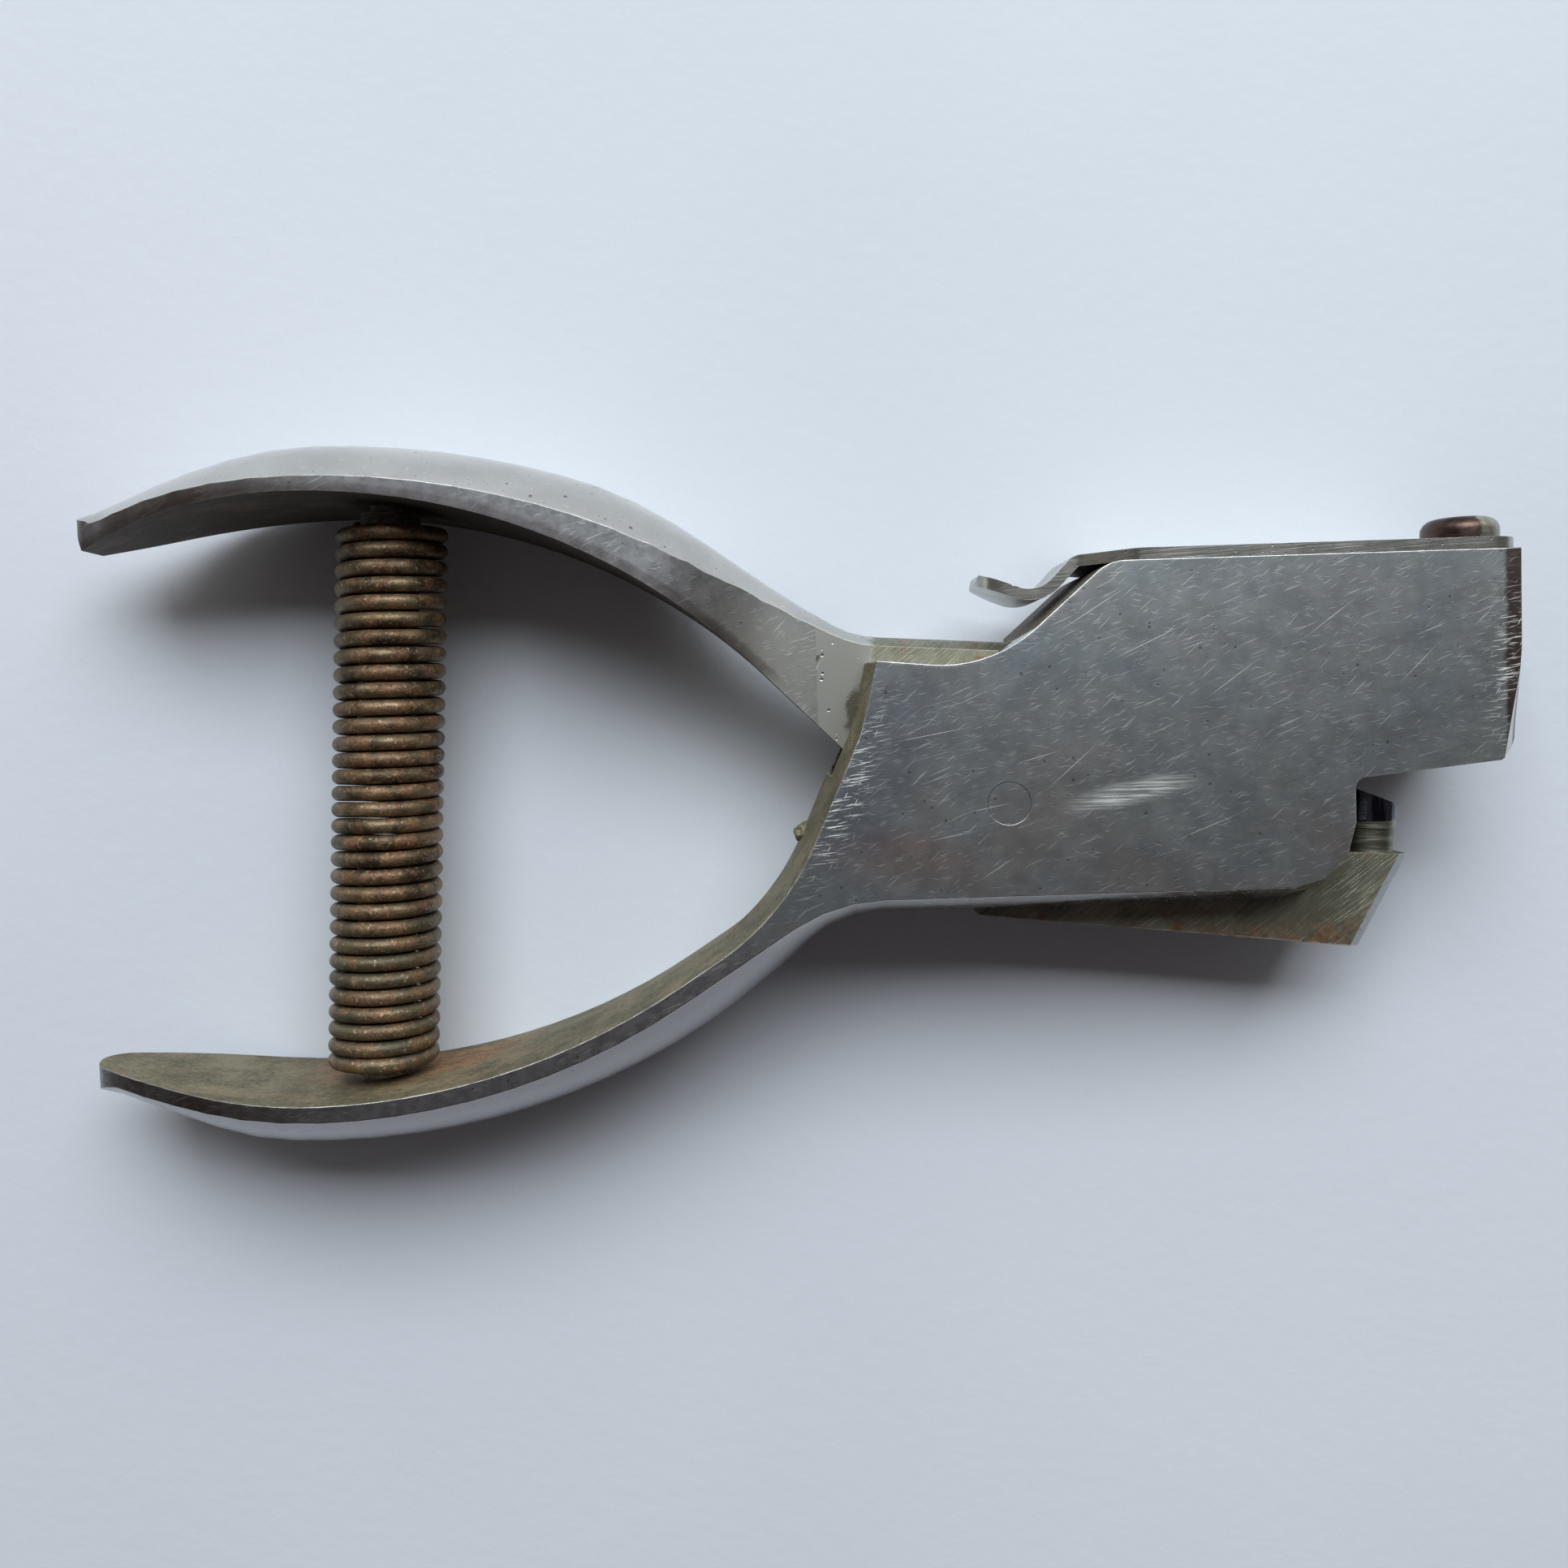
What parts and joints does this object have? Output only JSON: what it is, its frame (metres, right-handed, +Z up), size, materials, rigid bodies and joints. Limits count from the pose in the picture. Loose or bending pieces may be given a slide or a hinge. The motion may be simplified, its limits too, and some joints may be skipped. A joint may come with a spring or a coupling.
{
  "type": "ticket punch",
  "caption": "Hand-held ticket punch with a slotted head, a pivoting punch lever, a coil spring between the handles and a swinging cover over the chip chamber",
  "frame": {"origin": "foot of the pivot axis on the flat side that the tool lies on", "axes": "+X from the handle tips to the jaws, +Y from the lower handle to the upper handle, +Z up out of the flat side"},
  "size_m": [0.1415, 0.069, 0.02],
  "materials": {
    "worn_nickel": "worn nickel plate with fine scratches",
    "forged_steel": "nickel plate on the handle, filed grey steel on the blade",
    "tool_steel": "hardened and polished, blue black",
    "stem_steel": "turned, dull",
    "spring_steel": "rusty brown drawn wire",
    "cover_steel": "grey sheet with worn plating"
  },
  "bodies": {
    "body": {"body_forging": "worn_nickel", "pivot_pin": "worn_nickel", "die": "tool_steel", "lower_spring_stem": "stem_steel", "cover_rivet": "cover_steel"},
    "lever": {"lever_forging": "forged_steel", "punch": "tool_steel", "upper_spring_stem": "stem_steel", "spring": "spring_steel"},
    "cover": {"chip_cover": "cover_steel"}
  },
  "joints": [
    {"name": "lever_hinge", "type": "hinge", "parent": "body", "child": "lever", "pos_m": [0, 0, 0.01], "axis": [0, 0, 1], "range_deg": [0, 9], "stiffness_Nm_per_rad": 3.9, "springref_deg": -13.75, "deforming": ["spring"]},
    {"name": "cover_hinge", "type": "hinge", "parent": "body", "child": "cover", "pos_m": [0.047, 0.0223, 0.01], "axis": [0, 1, 0], "range_deg": [-95, 95]}
  ]
}
